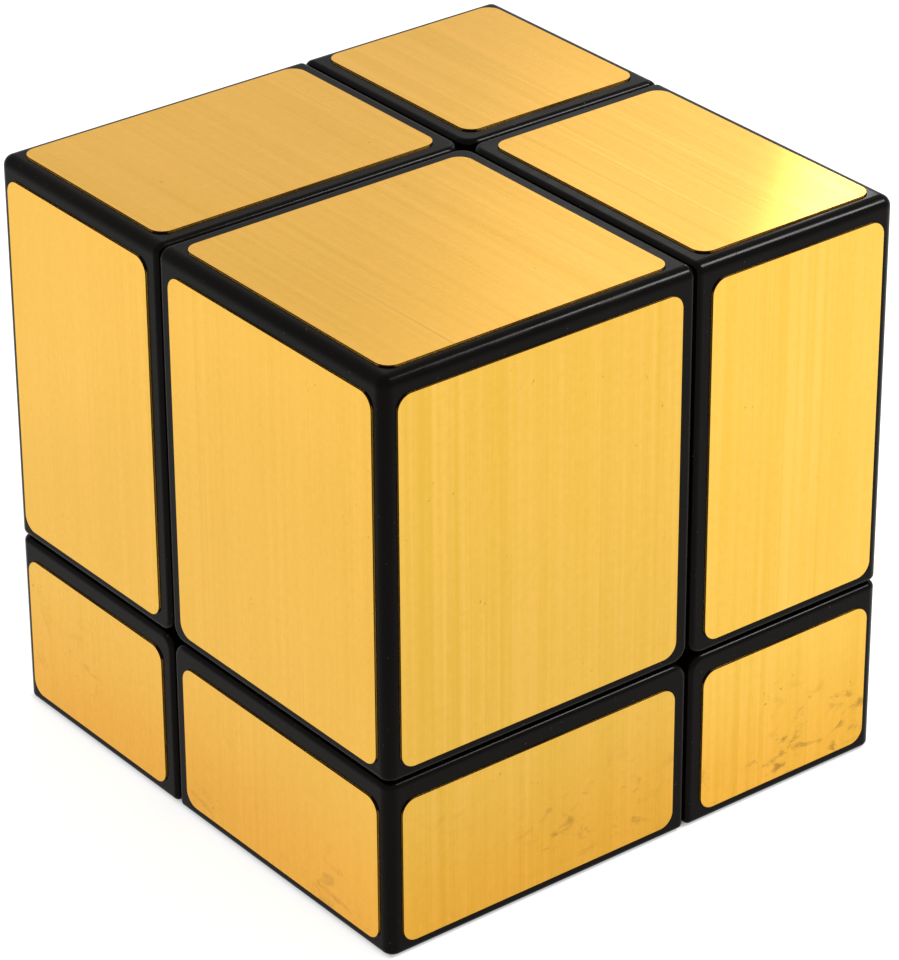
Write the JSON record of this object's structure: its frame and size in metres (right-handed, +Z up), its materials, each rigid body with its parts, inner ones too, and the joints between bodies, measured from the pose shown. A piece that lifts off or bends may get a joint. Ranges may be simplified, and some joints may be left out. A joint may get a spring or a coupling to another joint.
{
  "type": "mirror block cube",
  "caption": "Cube-shaped twisting puzzle of unequal black blocks with brushed gold foil faces, whose upper and lower layers turn about a hidden sprung core.",
  "frame": {"origin": "middle of the underside, in the plane of the four bottom foils that the puzzle stands on", "axes": "+Z up, -Y out of the front face, -X out of the left face; the pivot that every layer turns about is at x 4.75 mm, y 3.15 mm, z 15.65 mm"},
  "size_m": [0.05, 0.05, 0.05],
  "materials": {
    "block_plastic": "gloss",
    "foot_plastic": "satin",
    "gold_foil": "satin",
    "mechanism_plastic": "satin",
    "core_plastic": "satin",
    "zinc_plated_steel": "satin",
    "spring_steel": "polished"
  },
  "bodies": {
    "core_frame": {"back_spring": "spring_steel", "bottom_spring": "spring_steel", "centre_screws": "zinc_plated_steel", "centre_washers": "zinc_plated_steel", "core": "core_plastic", "front_spring": "spring_steel", "left_spring": "spring_steel", "middle_inner_edges": "mechanism_plastic", "right_spring": "spring_steel", "top_spring": "spring_steel"},
    "upper_layer": {"upper_back_left_back_foil": "gold_foil", "upper_back_left_cap": "block_plastic", "upper_back_left_foot": "foot_plastic", "upper_back_left_left_foil": "gold_foil", "upper_back_left_top_foil": "gold_foil", "upper_back_right_back_foil": "gold_foil", "upper_back_right_cap": "block_plastic", "upper_back_right_foot": "foot_plastic", "upper_back_right_right_foil": "gold_foil", "upper_back_right_top_foil": "gold_foil", "upper_front_left_cap": "block_plastic", "upper_front_left_foot": "foot_plastic", "upper_front_left_front_foil": "gold_foil", "upper_front_left_left_foil": "gold_foil", "upper_front_left_top_foil": "gold_foil", "upper_front_right_cap": "block_plastic", "upper_front_right_foot": "foot_plastic", "upper_front_right_front_foil": "gold_foil", "upper_front_right_right_foil": "gold_foil", "upper_front_right_top_foil": "gold_foil", "upper_inner_edges": "mechanism_plastic"},
    "lower_layer": {"lower_back_left_back_foil": "gold_foil", "lower_back_left_bottom_foil": "gold_foil", "lower_back_left_cap": "block_plastic", "lower_back_left_foot": "foot_plastic", "lower_back_left_left_foil": "gold_foil", "lower_back_right_back_foil": "gold_foil", "lower_back_right_bottom_foil": "gold_foil", "lower_back_right_cap": "block_plastic", "lower_back_right_foot": "foot_plastic", "lower_back_right_right_foil": "gold_foil", "lower_front_left_bottom_foil": "gold_foil", "lower_front_left_cap": "block_plastic", "lower_front_left_foot": "foot_plastic", "lower_front_left_front_foil": "gold_foil", "lower_front_left_left_foil": "gold_foil", "lower_front_right_bottom_foil": "gold_foil", "lower_front_right_cap": "block_plastic", "lower_front_right_foot": "foot_plastic", "lower_front_right_front_foil": "gold_foil", "lower_front_right_right_foil": "gold_foil", "lower_inner_edges": "mechanism_plastic"},
    "left_centre": {"left_centre": "mechanism_plastic"},
    "right_centre": {"right_centre": "mechanism_plastic"},
    "front_centre": {"front_centre": "mechanism_plastic"},
    "back_centre": {"back_centre": "mechanism_plastic"},
    "bottom_centre": {"bottom_centre": "mechanism_plastic"},
    "top_centre": {"top_centre": "mechanism_plastic"}
  },
  "joints": [
    {"name": "upper_layer_turn", "type": "hinge", "parent": "core_frame", "child": "upper_layer", "pos_m": [0.00475, 0.00315, 0.01565], "axis": [0, 0, 1], "continuous": true},
    {"name": "lower_layer_turn", "type": "hinge", "parent": "core_frame", "child": "lower_layer", "pos_m": [0.00475, 0.00315, 0.01565], "axis": [0, 0, 1], "continuous": true},
    {"name": "left_centre_travel", "type": "slide", "parent": "core_frame", "child": "left_centre", "axis": [-1, 0, 0], "range_m": [0, 0.0004], "stiffness_N_per_m": 1500, "deforming": ["left_spring"]},
    {"name": "right_centre_travel", "type": "slide", "parent": "core_frame", "child": "right_centre", "axis": [1, 0, 0], "range_m": [0, 0.0004], "stiffness_N_per_m": 1500, "deforming": ["right_spring"]},
    {"name": "front_centre_travel", "type": "slide", "parent": "core_frame", "child": "front_centre", "axis": [0, -1, 0], "range_m": [0, 0.0004], "stiffness_N_per_m": 1500, "deforming": ["front_spring"]},
    {"name": "back_centre_travel", "type": "slide", "parent": "core_frame", "child": "back_centre", "axis": [0, 1, 0], "range_m": [0, 0.0004], "stiffness_N_per_m": 1500, "deforming": ["back_spring"]},
    {"name": "bottom_centre_travel", "type": "slide", "parent": "lower_layer", "child": "bottom_centre", "axis": [0, 0, -1], "range_m": [0, 0.0004], "stiffness_N_per_m": 1500, "deforming": ["bottom_spring"]},
    {"name": "top_centre_travel", "type": "slide", "parent": "upper_layer", "child": "top_centre", "axis": [0, 0, 1], "range_m": [0, 0.0004], "stiffness_N_per_m": 1500, "deforming": ["top_spring"]}
  ]
}
